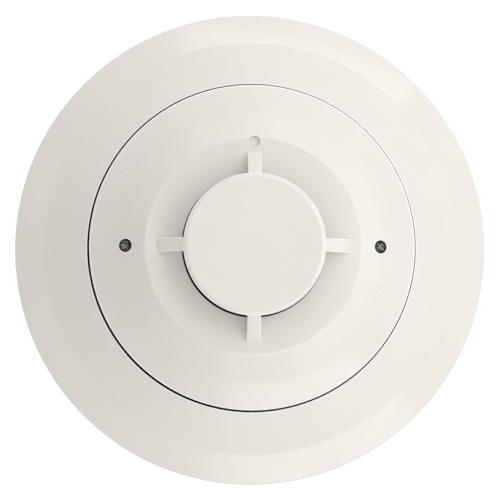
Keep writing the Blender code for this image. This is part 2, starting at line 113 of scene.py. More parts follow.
class DetectorFinish(bpy.types.PropertyGroup):
    """Colours and surface of the mouldings."""

    cover: bpy.props.FloatVectorProperty(
        name="Cover", description="Colour of the head's moulding",
        default=(0.83, 0.795, 0.737), min=0, max=1, size=3, subtype="COLOR",
    )  # fmt: skip
    base: bpy.props.FloatVectorProperty(
        name="Base", description="Colour of the base's mouldings",
        default=(0.83, 0.795, 0.736), min=0, max=1, size=3, subtype="COLOR",
    )  # fmt: skip
    gloss: bpy.props.FloatProperty(
        name="Roughness", description="Roughness of the mouldings",
        default=0.36, min=0, max=1, subtype="FACTOR",
    )  # fmt: skip
    skin: bpy.props.FloatProperty(
        name="Skin", description="Strength of the mouldings' smooth outer skin",
        default=0.7, min=0, max=1, subtype="FACTOR",
    )  # fmt: skip
    grain: bpy.props.FloatProperty(
        name="Grain", description="Strength of the mouldings' fine texture",
        default=0.10, min=0, max=1, subtype="FACTOR",
    )  # fmt: skip


class DetectorStage(bpy.types.PropertyGroup):
    """Light and camera."""

    key: bpy.props.FloatProperty(
        name="Key light", description="Power of the soft light at the right",
        default=4.05, unit="POWER",
    )  # fmt: skip
    window: bpy.props.FloatProperty(
        name="Window light", description="Power of the low, wide light at the top",
        default=2.3, unit="POWER",
    )  # fmt: skip
    upper: bpy.props.FloatProperty(
        name="Upper light", description="Power of the high light at the top",
        default=1.66, unit="POWER",
    )  # fmt: skip
    low: bpy.props.FloatProperty(
        name="Low light", description="Power of the low light at the bottom right",
        default=3.64, unit="POWER",
    )  # fmt: skip
    fill: bpy.props.FloatProperty(
        name="Fill", description="Strength of the even light all round",
        default=0.613, min=0,
    )  # fmt: skip
    lens: bpy.props.FloatProperty(
        name="Lens", description="Focal length",
        default=130.8, unit="CAMERA",
    )  # fmt: skip
    roll: bpy.props.FloatProperty(
        name="Roll", description="Turn of the camera about its own line",
        default=math.radians(0.3), unit="ROTATION",
    )  # fmt: skip
    eye: bpy.props.FloatVectorProperty(
        name="Eye", description="Where the camera stands",
        default=(-0.0154, -0.0195, 0.600), size=3, subtype="TRANSLATION", unit="LENGTH",
    )  # fmt: skip


# ---------------------------------------------------------------- shapes


def bend(start, corner, end, steps):
    """A curve from start to end that leaves and arrives along the lines through corner."""
    points = []
    for i in range(steps + 1):
        t = i / steps
        points.append(
            tuple((1 - t) ** 2 * a + 2 * t * (1 - t) * b + t * t * c for a, b, c in zip(start, corner, end))
        )
    return points


def softened(corners, steps=8):
    """A line through (r, z) corners. A corner with a third number is rounded over that length each way."""
    line = []
    for i, (r, z, *size) in enumerate(corners):
        here = Vector((r, z))
        if not size:
            line.append(tuple(here))
            continue
        before = (Vector(corners[i - 1][:2]) - here).normalized() * size[0]
        after = (Vector(corners[i + 1][:2]) - here).normalized() * size[0]
        line += bend(here + before, here, here + after, steps)
    return line


def spun(profile, segments=ROUND, closed=True):
    """Turns a line of (r, z) points, in millimetres, once round Z."""
    bm = bmesh.new()
    verts = [bm.verts.new((r * MM, 0, z * MM)) for r, z in profile]
    edges = [bm.edges.new(pair) for pair in zip(verts, verts[1:])]
    if closed:
        edges.append(bm.edges.new((verts[-1], verts[0])))
    bmesh.ops.spin(
        bm, geom=verts + edges, axis=(0, 0, 1), cent=(0, 0, 0), angle=math.tau, steps=segments,
        use_merge=True,
    )  # fmt: skip
    bmesh.ops.remove_doubles(bm, verts=bm.verts, dist=1e-7)
    bmesh.ops.recalc_face_normals(bm, faces=bm.faces)
    return bm


def plate(outline, depth, plane="XZ"):
    """A flat outline in millimetres, extruded by depth each way from its plane."""
    bm = bmesh.new()
    if plane == "XZ":
        corners = [(x * MM, -depth * MM, z * MM) for x, z in outline]
        push = Vector((0, 2 * depth * MM, 0))
    else:
        corners = [(x * MM, y * MM, -depth * MM) for x, y in outline]
        push = Vector((0, 0, 2 * depth * MM))
    face = bm.faces.new([bm.verts.new(corner) for corner in corners])
    grown = bmesh.ops.extrude_face_region(bm, geom=[face])["geom"]
    bmesh.ops.translate(bm, vec=push, verts=[g for g in grown if isinstance(g, bmesh.types.BMVert)])
    bmesh.ops.recalc_face_normals(bm, faces=bm.faces)
    return bm


def rounded_edges(bm, width, segments=3, sharper_than=30):
    """Rounds every edge sharper than an angle in degrees."""
    limit = math.radians(sharper_than)
    edges = [e for e in bm.edges if len(e.link_faces) == 2 and e.calc_face_angle(0) > limit]
    bmesh.ops.bevel(
        bm, geom=edges, offset=width, segments=segments, profile=0.5, affect="EDGES", material=-1,
        clamp_overlap=True,
    )  # fmt: skip
    return bm


def moved(bm, at=(0, 0, 0), turn=0, axis="Z"):
    """Turns a shape by some degrees about an axis, then moves it by millimetres."""
    matrix = Matrix.Translation(Vector(at) * MM) @ Matrix.Rotation(math.radians(turn), 4, axis)
    bmesh.ops.transform(bm, matrix=matrix, verts=bm.verts)
    return bm


def merged(shapes):
    """Several shapes in one mesh."""
    whole = bmesh.new()
    for bm in shapes:
        mesh = bpy.data.meshes.new("shape")
        bm.to_mesh(mesh)
        bm.free()
        whole.from_mesh(mesh)
        bpy.data.meshes.remove(mesh)
    return whole


def linked(name, bm):
    """Puts a shape in the scene as an object, and frees the shape."""
    mesh = bpy.data.meshes.new(name)
    bm.to_mesh(mesh)
    bm.free()
    obj = bpy.data.objects.new(name, mesh)
    bpy.context.scene.collection.objects.link(obj)
    return obj


def carved(bm, cutter):
    """Cuts one shape out of another."""
    body = linked("carved", bm)
    tool = linked("cutter", cutter)
    cut = body.modifiers.new("cut", "BOOLEAN")
    cut.operation = "DIFFERENCE"
    cut.solver = "EXACT"
    cut.object = tool
    bpy.context.view_layer.update()
    made = body.evaluated_get(bpy.context.evaluated_depsgraph_get())
    result = bmesh.new()
    result.from_mesh(made.data)
    for obj in (body, tool):
        mesh = obj.data
        bpy.data.objects.remove(obj)
        bpy.data.meshes.remove(mesh)
    return result


def cad_copy(node, edge):
    """A clean copy of a CAD node, with its flats made whole and its edges slightly rounded."""
    bm = bmesh.new()
    bm.from_mesh(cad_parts[node].data)
    bmesh.ops.remove_doubles(bm, verts=bm.verts, dist=1e-6)
    bmesh.ops.dissolve_limit(bm, angle_limit=FLAT_ANGLE, verts=bm.verts, edges=bm.edges)
    return rounded_edges(bm, edge, segments=2, sharper_than=40)


def mark_bends(bm):
    """Stores on each face how tightly the surface turns, in radians per millimetre, outwards and inwards.

    A shape that is marked already keeps its marks, so the cuts made since then leave none.
    """
    if "bulge" in bm.faces.layers.float:
        return
    bulge = bm.faces.layers.float.new("bulge")
    hollow = bm.faces.layers.float.new("hollow")
    for edge in bm.edges:
        if len(edge.link_faces) != 2:
            continue
        here, there = (face.calc_center_median() for face in edge.link_faces)
        turn = edge.calc_face_angle_signed(0) / max((here - there).length / MM, NEAREST_BEND)
        for face in edge.link_faces:
            face[bulge] = max(face[bulge], turn)
            face[hollow] = max(face[hollow], -turn)


def add_piece(name, bm, material, body, replaces=()):
    """Adds a finished piece that rides on a body of the frame."""
    mark_bends(bm)
    obj = linked(name, bm)
    obj.data.materials.append(bpy.data.materials[material])
    obj.data.shade_smooth()
    obj.data.set_sharp_from_angle(angle=SMOOTH_ANGLE)
    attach(obj, body)
    if replaces:
        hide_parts(*replaces)
    return obj


# ---------------------------------------------------------------- nodes


def add(tree, kind, settings=None, **inputs):
    """Adds a node. An input is a value or another node's output; __ stands for a space in its name."""
    made = tree.nodes.new(kind)
    for key, value in (settings or {}).items():
        setattr(made, key, value)
    for name, value in inputs.items():
        socket = made.inputs[int(name[1:])] if name[0] == "_" else made.inputs[name.replace("__", " ")]
        if isinstance(value, bpy.types.NodeSocket):
            tree.links.new(value, socket)
        else:
            socket.default_value = value
    return made


def mix(tree, factor, a, b, blend="MIX"):
    """Mixes two colours."""
    settings = {"data_type": "RGBA", "blend_type": blend}
    return add(tree, "ShaderNodeMix", settings, _0=factor, _6=a, _7=b).outputs[2]


def maths(tree, operation, a, b=0.5, clamp=False):
    """One Math node. b is left alone by the operations on a single number."""
    settings = {"operation": operation, "use_clamp": clamp}
    return add(tree, "ShaderNodeMath", settings, _0=a, _1=b).outputs[0]


def spread(tree, value, low, high, to_low=0.0, to_high=1.0):
    """Maps a value from one range to another, and keeps it there."""
    return add(
        tree, "ShaderNodeMapRange", None, Value=value, From__Min=low, From__Max=high, To__Min=to_low,
        To__Max=to_high,
    ).outputs[0]  # fmt: skip


def noise(tree, place, scale, detail=2.0, roughness=0.5):
    """Soft random clouds from 0 to 1."""
    return add(
        tree, "ShaderNodeTexNoise", None, Vector=place, Scale=scale, Detail=detail, Roughness=roughness
    ).outputs["Fac"]


def new_group(name, inputs, outputs):
    """A shader node group with named sockets. Each is (name, socket type, default)."""
    group = bpy.data.node_groups.new(name, "ShaderNodeTree")
    for label, kind, default in inputs:
        socket = group.interface.new_socket(name=label, in_out="INPUT", socket_type=kind)
        socket.default_value = default
    for label, kind in outputs:
        group.interface.new_socket(name=label, in_out="OUTPUT", socket_type=kind)
    return group, group.nodes.new("NodeGroupInput").outputs, group.nodes.new("NodeGroupOutput").inputs


def object_place(tree):
    """The place of each point on its piece, in metres."""
    return tree.nodes.new("ShaderNodeTexCoord").outputs["Object"]


FLOAT, COLOUR = "NodeSocketFloat", "NodeSocketColor"


def moulding_group():
    """Injection-moulded plastic: clouded colour, a fine eroded grain, and a few dark flecks."""
    tree, given, out = new_group(
        "Moulded plastic",
        [("Colour", COLOUR, (0.8, 0.8, 0.8, 1)), ("Cloud", FLOAT, 0.03), ("Flecks", FLOAT, 0.2),
         ("Roughness", FLOAT, 0.35), ("Grain size", FLOAT, 1800.0)],
        [("Colour", COLOUR), ("Roughness", FLOAT), ("Height", FLOAT)],
    )  # fmt: skip
    place = object_place(tree)
    cloud = noise(tree, place, 42.0, 3.0)
    fine_cloud = noise(tree, place, 260.0, 2.0)
    both = maths(tree, "ADD", maths(tree, "MULTIPLY", cloud, 0.7), maths(tree, "MULTIPLY", fine_cloud, 0.3))
    dark = spread(tree, both, 0.35, 0.65, 0.0, 1.0)
    shade = maths(tree, "SUBTRACT", 1.0, maths(tree, "MULTIPLY", dark, given["Cloud"]))
    grey = add(tree, "ShaderNodeCombineColor", None, Red=shade, Green=shade, Blue=shade).outputs[0]
    tinted = mix(tree, 1.0, given["Colour"], grey, "MULTIPLY")
    cells = add(tree, "ShaderNodeTexVoronoi", {"feature": "F1"}, Vector=place, Scale=240.0)
    near = spread(tree, cells.outputs["Distance"], 0.03, 0.07, 1.0, 0.0)
    pick = add(tree, "ShaderNodeSeparateColor", None, Color=cells.outputs["Color"]).outputs[0]
    chosen = spread(tree, pick, 0.965, 0.97, 0.0, 1.0)
    fleck = maths(tree, "MULTIPLY", maths(tree, "MULTIPLY", near, chosen), given["Flecks"])
    tree.links.new(mix(tree, fleck, tinted, FLECK), out["Colour"])
    grain = noise(tree, place, given["Grain size"], 2.0, 0.6)
    uneven = spread(tree, fine_cloud, 0.3, 0.7, -0.04, 0.05)
    tree.links.new(maths(tree, "ADD", given["Roughness"], uneven, True), out["Roughness"])
    ripple = noise(tree, place, 90.0, 1.0)
    height = maths(tree, "ADD", maths(tree, "MULTIPLY", grain, 0.25), maths(tree, "MULTIPLY", ripple, 0.75))
    tree.links.new(height, out["Height"])
    return tree


def edge_group():
    """Where a surface turns sharply: painted highlights along edges and painted shade in corners."""
    tree, given, out = new_group(
        "Edges and corners",
        [("Soft", FLOAT, 0.8), ("Sharp", FLOAT, 1.9)],
        [("Edge", FLOAT), ("Corner", FLOAT)],
    )
    breakup = spread(tree, noise(tree, object_place(tree), 420.0, 3.0), 0.3, 0.7, 0.7, 1.0)
    # Edge paints a highlight on sharp outer turns; Corner paints shade in sharp inner turns
    for bend_name, label in (("bulge", "Edge"), ("hollow", "Corner")):
        turn = add(tree, "ShaderNodeAttribute", {"attribute_name": bend_name}).outputs["Fac"]
        mask = add(
            tree, "ShaderNodeMapRange", None, Value=turn, From__Min=given["Soft"], From__Max=given["Sharp"]
        ).outputs[0]
        tree.links.new(maths(tree, "MULTIPLY", mask, breakup), out[label])
    return tree


def distance(tree, a, b):
    """The length of a flat offset."""
    squares = maths(tree, "ADD", maths(tree, "MULTIPLY", a, a), maths(tree, "MULTIPLY", b, b))
    return maths(tree, "SQRT", squares)


def lamp_distance(tree, x, y):
    """How far a point is from the line through the nearer lamp's middle."""
    side = maths(tree, "SUBTRACT", maths(tree, "ABSOLUTE", x), LAMP_X * MM)
    return distance(tree, side, y)


def within(tree, away, reach):
    """1 within a reach, fading to 0 just past it."""
    return spread(tree, away, reach, reach + FADE, 1.0, 0.0)


def beyond(tree, away, reach):
    """0 until just before a reach, and 1 from it on."""
    return spread(tree, away, reach - FADE, reach)


def gap_group(play):
    """Painted shade on the walls of the gap round the head and of the lamp holes, and painted highlights on
    the edges beside them.
    """
    tree, _, out = new_group("Gap dust", [], [("Mask", FLOAT), ("Rim", FLOAT)])
    x, y, z = add(tree, "ShaderNodeSeparateXYZ", None, Vector=object_place(tree)).outputs
    from_head = distance(tree, x, y)
    lip_x = maths(tree, "SUBTRACT", x, math.cos(PLAY_WAY) * play)
    lip_y = maths(tree, "SUBTRACT", y, math.sin(PLAY_WAY) * play)
    from_ring = distance(tree, lip_x, lip_y)
    from_lamp = lamp_distance(tree, x, y)
    below = spread(tree, z, GAP_TOP * MM - 2 * FADE, GAP_TOP * MM, 1.0, 0.0)
    above = maths(tree, "SUBTRACT", 1.0, below)

    # Mask is painted shade: the walls of the gap round the head and of the lamp holes, where shadow falls
    outside = beyond(tree, from_head, (HEAD_WALL - HEAD_SLACK) * MM)
    inside = within(tree, from_ring, (LIP_WALL + LIP_SLACK) * MM)
    gap = maths(tree, "MULTIPLY", maths(tree, "MULTIPLY", outside, inside), below)
    hole = spread(tree, from_lamp, LAMP_HOLE * MM + FADE / 2, LAMP_HOLE * MM + FADE, 1.0, 0.0)
    tree.links.new(maths(tree, "MAXIMUM", gap, hole), out["Mask"])

    # Rim is a painted highlight: a pale band on the flat edges beside the gap and round the lamp holes
    begun = beyond(tree, from_head, HEAD_LAND * MM)
    ended = within(tree, from_ring, (LIP_WALL + LIP_LAND) * MM)
    land = maths(tree, "MULTIPLY", maths(tree, "MULTIPLY", begun, ended), above)
    rim = within(tree, from_lamp, (LAMP_HOLE + LAMP_RIM) * MM)
    tree.links.new(maths(tree, "MAXIMUM", rim, land), out["Rim"])
    return tree


def brushed_group():
    """Rolled or plated metal: fine streaks, a clouded tarnish and uneven gloss."""
    tree, given, out = new_group(
        "Worked metal",
        [("Colour", COLOUR, (0.6, 0.6, 0.6, 1)), ("Tarnish", COLOUR, (0.3, 0.3, 0.3, 1)),
         ("Roughness", FLOAT, 0.3)],
        [("Colour", COLOUR), ("Roughness", FLOAT), ("Height", FLOAT)],
    )  # fmt: skip
    place = object_place(tree)
    stretched = add(tree, "ShaderNodeMapping", None, Vector=place, Scale=(300.0, 300.0, 6000.0)).outputs[0]
    streak = noise(tree, stretched, 1.0, 2.0)
    cloud = spread(tree, noise(tree, place, 260.0, 4.0), 0.45, 0.75)
    tarnish = maths(tree, "MULTIPLY", cloud, 0.5)
    tree.links.new(mix(tree, tarnish, given["Colour"], given["Tarnish"]), out["Colour"])
    uneven = maths(tree, "MULTIPLY", cloud, 0.2)
    tree.links.new(maths(tree, "ADD", given["Roughness"], uneven, True), out["Roughness"])
    tree.links.new(streak, out["Height"])
    return tree


def placed_group(tree, group, **inputs):
    """Places a node group in a material, and returns its outputs."""
    return add(tree, "ShaderNodeGroup", {"node_tree": bpy.data.node_groups[group]}, **inputs).outputs


def new_material(name, **values):
    """A material with one Principled shader, and constant values on its own sockets."""
    material = bpy.data.materials.new(name)
    material.use_nodes = True
    tree = material.node_tree
    shader = tree.nodes["Principled BSDF"]
    for label, value in values.items():
        shader.inputs[label.replace("__", " ")].default_value = value
    return tree, shader


def bumped(tree, shader, height, depth, strength):
    """Raises a material's surface by a height from 0 to 1, over a depth in metres."""
    bump = add(tree, "ShaderNodeBump", None, Height=height, Distance=depth, Strength=strength)
    tree.links.new(bump.outputs[0], shader.inputs["Normal"])


def plastic(
    name, colour, roughness, cloud=0.03, flecks=0.2, grain=0.1, highlight=0.3, corner_shading=0.35, gap_shade=0.0, **values
):  # fmt: skip
    """A moulded plastic, with a painted highlight along its thin edges and painted shade in its corners and
    gaps.
    """
    tree, shader = new_material(name, **values)
    look = placed_group(
        tree, "Moulded plastic", Colour=(*colour, 1), Cloud=cloud, Flecks=flecks, Roughness=roughness
    )
    bend_masks = placed_group(tree, "Edges and corners")
    pale = tuple(c + (1.0 - c) * PALE for c in colour)
    # painted highlight: thin edges go towards white
    highlighted = mix(tree, maths(tree, "MULTIPLY", bend_masks["Edge"], highlight), look["Colour"], (*pale, 1))
    # painted shade: sharp inner corners go darker
    shade_colour = tuple(c * SHADED_CORNER for c in colour)
    painted_tone = mix(tree, maths(tree, "MULTIPLY", bend_masks["Corner"], corner_shading), highlighted, (*shade_colour, 1))
    if gap_shade:
        gap = placed_group(tree, "Gap dust")
        # painted highlight: pale bands beside the gap and round the lamp holes
        painted_tone = mix(tree, maths(tree, "MULTIPLY", gap["Rim"], highlight), painted_tone, (*pale, 1))
        # painted shade: the walls of the gap and of the lamp holes turn near-black
        painted_tone = mix(tree, maths(tree, "MULTIPLY", gap["Mask"], gap_shade), painted_tone, GAP_SHADOW)
    tree.links.new(painted_tone, shader.inputs["Base Color"])
    worn = maths(tree, "MULTIPLY", bend_masks["Edge"], POLISH)
    tree.links.new(maths(tree, "ADD", look["Roughness"], worn, True), shader.inputs["Roughness"])
    bumped(tree, shader, look["Height"], GRAIN_DEPTH, grain)


def lens_plastic(name):
    """Smoked clear plastic: its edge is painted black, darker than the smoked plastic, as painted shade for
    the ring round the lens; its grey, faceted centre scatters the light.
    """
    tree, shader = new_material(name, Coat__Weight=0.3, Coat__Roughness=0.1)
    place = object_place(tree)
    x, y, z = add(tree, "ShaderNodeSeparateXYZ", None, Vector=place).outputs
    centre = spread(tree, lamp_distance(tree, x, y), 1.2 * MM, 1.55 * MM, 1.0, 0.0)
    front = spread(tree, z, 29.0 * MM, 30.0 * MM)
    facets = add(tree, "ShaderNodeTexVoronoi", {"feature": "F1"}, Vector=place, Scale=1600.0)
    speckle = spread(tree, facets.outputs["Distance"], 0.2, 0.6)
    grey = mix(tree, speckle, LENS_PALE, LENS_DARK)
    # painted shade: all but the front centre is black, which darkens the ring round the lens
    tone = mix(tree, maths(tree, "MULTIPLY", centre, front), LENS_BLACK, grey)
    tree.links.new(tone, shader.inputs["Base Color"])
    tree.links.new(spread(tree, centre, 0.0, 1.0, 0.15, 0.5), shader.inputs["Roughness"])
    bumped(tree, shader, speckle, 0.00004, 0.6)


def metal(name, colour, tarnish, roughness):
    """A worked metal, with a painted highlight along its sharp edges."""
    tree, shader = new_material(name, Metallic=1.0)
    look = placed_group(
        tree, "Worked metal", Colour=(*colour, 1), Tarnish=(*tarnish, 1), Roughness=roughness
    )
    bend_masks = placed_group(tree, "Edges and corners")
    bright = tuple(min(1.0, c * 1.2) for c in colour)
    # painted highlight: the sharp edges are brighter
    tree.links.new(mix(tree, bend_masks["Edge"], look["Colour"], (*bright, 1)), shader.inputs["Base Color"])
    tree.links.new(look["Roughness"], shader.inputs["Roughness"])
    bumped(tree, shader, look["Height"], 0.00002, 0.4)


def laminate(name):
    """Green circuit board: solder mask over faint copper tracks, with the glass weave just showing."""
    tree, shader = new_material(name)
    place = object_place(tree)
    cells = add(
        tree, "ShaderNodeTexBrick", {"offset": 0.35, "offset_frequency": 3}, Vector=place, Scale=140.0,
        Mortar__Size=0.07, Color1=(0.035, 0.17, 0.07, 1), Color2=(0.03, 0.15, 0.06, 1),
        Mortar=(0.06, 0.26, 0.11, 1),
    )  # fmt: skip
    weave = add(
        tree, "ShaderNodeTexWave", {"bands_direction": "X"}, Vector=place, Scale=600.0
    ).outputs["Fac"]
    tone = mix(tree, maths(tree, "MULTIPLY", weave, 0.12), cells.outputs["Color"], (0.08, 0.22, 0.10, 1))
    tree.links.new(tone, shader.inputs["Base Color"])
    rough = spread(tree, noise(tree, place, 300.0), 0.3, 0.7, 0.32, 0.48)
    tree.links.new(rough, shader.inputs["Roughness"])
    bumped(tree, shader, cells.outputs["Fac"], 0.00003, 0.5)


def paper(name):
    """The label's matt film, slightly yellowed in clouds."""
    tree, shader = new_material(name)
    place = object_place(tree)
    cloud = spread(tree, noise(tree, place, 500.0, 4.0), 0.3, 0.7)
    tone = mix(tree, maths(tree, "MULTIPLY", cloud, 0.3), (0.82, 0.82, 0.80, 1), (0.70, 0.70, 0.67, 1))
    tree.links.new(tone, shader.inputs["Base Color"])
    tree.links.new(spread(tree, cloud, 0.0, 1.0, 0.5, 0.65), shader.inputs["Roughness"])
    bumped(tree, shader, noise(tree, place, 2500.0, 2.0), 0.00003, 0.3)


# ---------------------------------------------------------------- operators


def settings():
    """The sizes, the finish and the stage."""
    scene = bpy.context.scene
    return scene.detector_sizes, scene.detector_finish, scene.detector_stage


class DETECTOR_OT_materials(bpy.types.Operator):
    """Makes the materials and the node groups that they share"""

    bl_idname = "detector.materials"
    bl_label = "Materials"

    def execute(self, context):
        sizes, finish, _ = settings()
        moulding_group()
        edge_group()
        gap_group(sizes.play)
        brushed_group()
        skin = {"Coat__Weight": finish.skin, "Coat__Roughness": 0.09}
        for name, colour in (("cover plastic", finish.cover), ("base plastic", finish.base)):
            # full painted highlight on the edges, full painted shade in the gap and the lamp holes
            plastic(name, tuple(colour), finish.gloss, grain=finish.grain, highlight=1.0, gap_shade=1.0, **skin)
        plastic(
            "black plastic", (0.012, 0.012, 0.012), 0.6, cloud=0.2, flecks=0.0, grain=0.3, highlight=0.1, corner_shading=0.1,
            Specular__IOR__Level=0.2,
        )  # fmt: skip
        plastic("dial plastic", (0.76, 0.75, 0.70), 0.42, grain=0.15)
        lens_plastic("smoked lens")
        plastic("red epoxy", (0.5, 0.03, 0.02), 0.2, flecks=0.0, grain=0.05, Coat__Weight=0.5)
        plastic(
            "black epoxy", (0.02, 0.018, 0.016), 0.22, cloud=0.3, flecks=0.0, grain=0.2, Coat__Weight=0.3
        )
        plastic("capacitor sleeve", (0.04, 0.055, 0.13), 0.3, flecks=0.0, grain=0.1)
        plastic("ferrite", (0.05, 0.05, 0.055), 0.6, cloud=0.3, flecks=0.4, grain=0.5)
        plastic("blue dip", (0.04, 0.15, 0.40), 0.3, flecks=0.0, grain=0.2, Coat__Weight=0.4)
        plastic("reed glass", (0.40, 0.55, 0.44), 0.08, flecks=0.0, grain=0.02, Coat__Weight=0.8)
        metal("contact brass", (0.80, 0.60, 0.30), (0.42, 0.28, 0.12), 0.26)
        metal("zinc steel", (0.66, 0.65, 0.62), (0.42, 0.40, 0.36), 0.28)
        laminate("board laminate")
        paper("label film")
        return {"FINISHED"}


# The turned outlines are (r, z) corners, and a third number rounds a corner
RING_LINE = [
    (77.5, 0.3), (77.5, 2.1, 0.9), (67.1, 8.6, 0.3), (52.68, 21.45, 0.1), (LIP_WALL, 21.5, 0.1),
    (LIP_WALL, 19.3),
]  # fmt: skip
RING_UNDER = [(54.5, 19.3), (54.5, 17.14), (66.45, 6.4), (75.5, 0.8), (75.5, 0.3)]
HOOK = [(55.1, 6.0), (58.8, 6.0), (58.8, 14.4), (56.8, 16.2), (56.8, 7.6), (55.1, 7.6)]
HOOK_HALF = 4.0
HOOK_EDGE = 0.0003
HOOK_ANGLES = (45, 135, 225, 315)

COVER_LINE = [
    (HEAD_WALL, 15.2), (HEAD_WALL, 22.0, 0.12), (51.5, 22.1, 0.12), (45.5, 26.6, 4.4), (38.7, 32.7, 4.4),
    (33.9, 38.8, 0.7), (22.3, 39.6, 0.15), (22.3, 34.0),
]  # fmt: skip
COVER_UNDER = [
    (24.0, 34.0), (24.0, 37.4), (32.9, 36.8), (37.2, 31.3), (44.2, 25.0), (49.9, 21.0), (49.9, 15.2),
]  # fmt: skip
COVER_STEPS = 12  # steps in each rounded corner of the cover
LAMP_CUT = [(0, 24), (LAMP_HOLE, 24), (LAMP_HOLE, 40), (0, 40)]
MARK = (0.0, 32.2)  # the middle of the test mark
MARK_CUT = softened([(0, 37.8), (1.8, 37.8, 0.15), (1.85, 39.3), (1.85, 42), (0, 42)])

RIB_SIDE = [
    (22.6, 36.9), (30.4, 36.9), (30.0, 39.0), (29.5, 39.6), (21.5, 50.3), (18.4, 50.3), (18.4, 46.4),
    (22.4, 40.2),
]  # fmt: skip
RIB_HALF = 2.0
RIB_TURNS = (0, 90, 180, 270)
MARK_TURN = 90  # the rib beside the test mark
MARK_ROOM = 0.8  # how much shorter it is
RIB_OUTER = 25  # its corners past this radius are the ones moved
DRAFT_TOP = 49.8  # a rib widens from this height down
DRAFT_DROP = 10.5  # to its full draft this much lower

CAP_LINE = [(0, 48.2), (21.2, 48.2, 0.3), (21.7, 48.9, 0.3)]
CAP_RADIUS = 21.7
CAP_TOP = 51.0

TICK = [(-1.1, -0.16), (1.1, -0.16), (1.1, 0.16), (-1.1, 0.16)]
TICK_RADIUS = 47.0
TICK_ANGLES = [138 + 2 * n for n in range(10)]
EYELET = softened([(0.9, -0.2), (0.9, 0.16, 0.08), (1.4, 0.16, 0.08), (1.4, -0.2)])
EYELET_AT = (41.6, -18.0)  # radius and angle

PIPE_LINE = [
    (0, 23.8), (2.6, 23.8, 0.2), (2.6, 24.8, 0.2), (1.9, 24.9), (1.9, 29.6), (1.9, 30.8, 0.2),
    (1.55, 30.8, 0.1), (1.4, 30.5, 0.1), (0.8, 30.65, 0.2), (0, 30.7),
]  # fmt: skip


class DETECTOR_OT_ring(bpy.types.Operator):
    """Makes the trim ring: two conical facets, a soft outer rim, and four hooks behind"""

    bl_idname = "detector.ring"
    bl_label = "Trim ring"

    def execute(self, context):
        sizes = settings()[0]
        ring = spun(softened(RING_LINE) + RING_UNDER)
        aside = Vector((math.cos(PLAY_WAY), math.sin(PLAY_WAY), 0)) * sizes.play
        rim, lip = RING_LINE[0][0] * MM, LIP_WALL * MM
        for vert in ring.verts:
            vert.co += aside * min(1.0, (rim - vert.co.xy.length) / (rim - lip))
        add_piece("trim_ring_skin", ring, "base plastic", "ring", ["trim_ring"])
        hooks = [
            moved(rounded_edges(plate(HOOK, HOOK_HALF), HOOK_EDGE), turn=angle) for angle in HOOK_ANGLES
        ]
        add_piece("trim_ring_hooks", merged(hooks), "base plastic", "ring")
        return {"FINISHED"}


class DETECTOR_OT_cover(bpy.types.Operator):
    """Makes the domed cover with its ribs, marks and cap plate, its lamp windows and its test mark"""

    bl_idname = "detector.cover"
    bl_label = "Cover"

    def execute(self, context):
        sizes = settings()[0]
        dome = spun(softened(COVER_LINE, COVER_STEPS) + COVER_UNDER)
        holes = [moved(spun(LAMP_CUT, SMALL_ROUND, False), (side * LAMP_X, 0, 0)) for side in (-1, 1)]
        holes.append(moved(spun(MARK_CUT, SMALL_ROUND, False), (*MARK, 0)))
        mark_bends(dome)
        dome = carved(dome, merged(holes))
        add_piece("cover_dome", dome, "cover plastic", "head", ["front_cover"])

        ribs = merged(self.rib(turn, sizes) for turn in RIB_TURNS)
        add_piece("cover_ribs", ribs, "cover plastic", "head")

        marks = [self.laid_on_dome(self.tick(), TICK_RADIUS, angle) for angle in TICK_ANGLES]
        marks.append(self.laid_on_dome(spun(EYELET, SMALL_ROUND), *EYELET_AT))
        add_piece("cover_marks", merged(marks), "cover plastic", "head")

        edge = sizes.cap_edge / MM
        chamfer = [(CAP_RADIUS, CAP_TOP - edge / 2, 0.25), (CAP_RADIUS - edge, CAP_TOP, 0.3)]
        cap = spun(softened([*CAP_LINE, *chamfer, (0, CAP_TOP)], 6), closed=False)
        add_piece("sensor_cap", cap, "cover plastic", "head")
        return {"FINISHED"}

    def rib(self, turn, sizes):
        """One rib, which widens slightly towards its foot. The one beside the test mark is shorter."""
        rib = plate(RIB_SIDE, RIB_HALF)
        for vert in rib.verts:
            if turn == MARK_TURN and vert.co.x > RIB_OUTER * MM:
                vert.co.x -= MARK_ROOM * MM
            drop = min(1.0, max(0.0, (DRAFT_TOP * MM - vert.co.z) / (DRAFT_DROP * MM)))
            vert.co.y += math.copysign(sizes.rib_draft / 2 * drop, vert.co.y)
        return moved(rounded_edges(rib, sizes.rib_edge, sharper_than=20), turn=turn)

    def tick(self):
        """One raised line, lying flat."""
        return rounded_edges(plate(TICK, 0.07, "XY"), 0.00006, 1)

    def laid_on_dome(self, bm, radius, angle):
        """Lays a flat shape on the outside of the dome."""
        line = softened(COVER_LINE, COVER_STEPS)
        outer, inner = next(pair for pair in zip(line, line[1:]) if pair[1][0] < radius <= pair[0][0])
        share = (outer[0] - radius) / (outer[0] - inner[0])
        height = outer[1] + (inner[1] - outer[1]) * share
        slope = math.degrees(math.atan2(inner[1] - outer[1], outer[0] - inner[0]))
        return moved(moved(bm, (radius, 0, height), slope, "Y"), turn=angle)


class DETECTOR_OT_lamps(bpy.types.Operator):
    """Makes the two smoked light pipes, with a fresnelled front face, and the lamps behind them"""

    bl_idname = "detector.lamps"
    bl_label = "Lamps"

    def execute(self, context):
        for name, side in (("left", -1), ("right", 1)):
            pipe = moved(spun(softened(PIPE_LINE, 4), SMALL_ROUND, False), (side * LAMP_X, 0, 0))
            add_piece(f"lens_{name}", pipe, "smoked lens", "head", [f"light_pipe_{name}"])
            lamp = cad_copy(f"lamp_{name}", 0.0002)
            add_piece(f"led_{name}", lamp, "red epoxy", "head", [f"lamp_{name}"])
        return {"FINISHED"}


